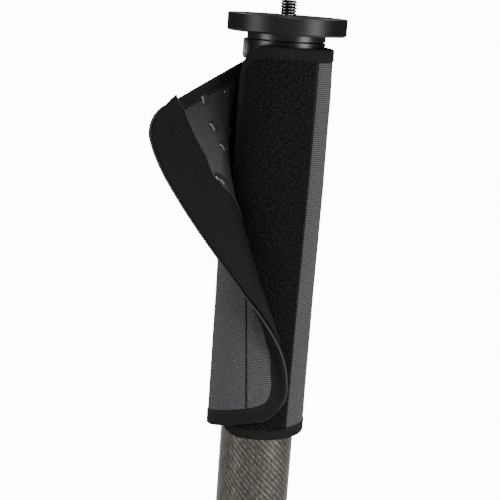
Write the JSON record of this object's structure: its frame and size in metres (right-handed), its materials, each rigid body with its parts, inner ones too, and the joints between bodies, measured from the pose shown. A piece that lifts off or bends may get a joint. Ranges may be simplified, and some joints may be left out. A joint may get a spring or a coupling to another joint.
{
  "type": "camera monopod",
  "caption": "Telescoping carbon camera monopod with a round head plate, threaded stud, twist locks, a foot with a hidden spike and a padded grip wrap peeled partly open.",
  "frame": {"origin": "centre of the head plate's upper face, where the camera stud leaves it", "axes": "+Z out of the plate along the stud, -Y towards the side where the wrap closes, -X towards the loose flap and the side port"},
  "size_m": [0.1016, 0.0793, 0.5619],
  "materials": {
    "anodised_aluminium": "satin black anodised aluminium",
    "stud_steel": "turned stainless steel",
    "brass_retainer": "turned brass",
    "screw_steel": "blackened steel",
    "carbon_tube": "clear coated twill carbon laminate",
    "slide_plastic": "natural low friction plastic",
    "plug_plastic": "black moulded plastic",
    "lock_aluminium": "satin black anodised aluminium",
    "seal_rubber": "smooth black rubber",
    "grip_rubber": "matte fluted rubber",
    "spike_steel": "hardened steel",
    "foot_rubber": "matte black rubber",
    "lining_fabric": "dark grey woven lining",
    "padding_foam": "soft closed cell foam",
    "shell_nylon": "finely ribbed grey nylon",
    "loop_fabric": "brushed loop fabric",
    "hook_fabric": "ribbed hook tape",
    "binding_tape": "woven binding tape",
    "dot_rubber": "glossy domed rubber"
  },
  "bodies": {
    "upper": {"top_plate": "anodised_aluminium", "plate_set_screws": "screw_steel", "camera_stud": "stud_steel", "stud_retainer": "brass_retainer", "head_collar": "anodised_aluminium", "collar_grub_screws": "screw_steel", "accessory_port": "stud_steel", "upper_tube": "carbon_tube", "lock_ferrule_1": "lock_aluminium", "lock_collet_1": "slide_plastic", "wrap_lining": "lining_fabric", "wrap_padding": "padding_foam", "wrap_shell": "shell_nylon", "loop_panel": "loop_fabric", "wrap_binding": "binding_tape"},
    "flap": {"flap_lining": "lining_fabric", "flap_padding": "padding_foam", "flap_shell": "shell_nylon", "hook_strip": "hook_fabric", "flap_binding": "binding_tape", "flap_grip_dots": "dot_rubber"},
    "lock_1": {"lock_nut_1": "lock_aluminium", "lock_grip_1": "grip_rubber", "lock_seal_1": "seal_rubber"},
    "leg_2": {"leg_tube_2": "carbon_tube", "leg_bushing_2": "slide_plastic", "leg_plug_2": "plug_plastic", "lock_ferrule_2": "lock_aluminium", "lock_collet_2": "slide_plastic"},
    "lock_2": {"lock_nut_2": "lock_aluminium", "lock_grip_2": "grip_rubber", "lock_seal_2": "seal_rubber"},
    "leg_3": {"leg_tube_3": "carbon_tube", "leg_bushing_3": "slide_plastic", "leg_plug_3": "plug_plastic", "lock_ferrule_3": "lock_aluminium", "lock_collet_3": "slide_plastic"},
    "lock_3": {"lock_nut_3": "lock_aluminium", "lock_grip_3": "grip_rubber", "lock_seal_3": "seal_rubber"},
    "leg_4": {"leg_tube_4": "carbon_tube", "leg_bushing_4": "slide_plastic", "leg_plug_4": "plug_plastic", "foot_plug": "lock_aluminium", "foot_spike": "spike_steel", "foot_key": "screw_steel", "foot_circlip": "screw_steel"},
    "foot_collar": {"foot_ring": "lock_aluminium"},
    "foot": {"foot_sleeve": "lock_aluminium", "rubber_foot": "foot_rubber"}
  },
  "joints": [
    {"name": "flap_hinge", "type": "hinge", "parent": "upper", "child": "flap", "pos_m": [-0.0186, 0.0186, -0.12], "axis": [0, 0, -1], "range_deg": [0, 60]},
    {"name": "lock_1_turn", "type": "hinge", "parent": "upper", "child": "lock_1", "pos_m": [0, 0, -0.43], "axis": [0, 0, 1], "range_deg": [0, 120]},
    {"name": "leg_2_slide", "type": "slide", "parent": "upper", "child": "leg_2", "axis": [0, 0, -1], "range_m": [0, 0.34]},
    {"name": "lock_2_turn", "type": "hinge", "parent": "leg_2", "child": "lock_2", "pos_m": [0, 0, -0.4645], "axis": [0, 0, 1], "range_deg": [0, 120]},
    {"name": "leg_3_slide", "type": "slide", "parent": "leg_2", "child": "leg_3", "axis": [0, 0, -1], "range_m": [0, 0.366]},
    {"name": "lock_3_turn", "type": "hinge", "parent": "leg_3", "child": "lock_3", "pos_m": [0, 0, -0.499], "axis": [0, 0, 1], "range_deg": [0, 120]},
    {"name": "leg_4_slide", "type": "slide", "parent": "leg_3", "child": "leg_4", "axis": [0, 0, -1], "range_m": [0, 0.393]},
    {"name": "foot_ring_turn", "type": "hinge", "parent": "leg_4", "child": "foot_collar", "pos_m": [0, 0, -0.526], "axis": [0, 0, 1], "range_deg": [0, 315]},
    {"name": "foot_lift", "type": "slide", "parent": "leg_4", "child": "foot", "axis": [0, 0, 1], "range_m": [0, 0.007]}
  ],
  "couplings": [
    {"joint": "foot_lift", "follows": "foot_ring_turn", "m_per_rad": 0.00127}
  ]
}
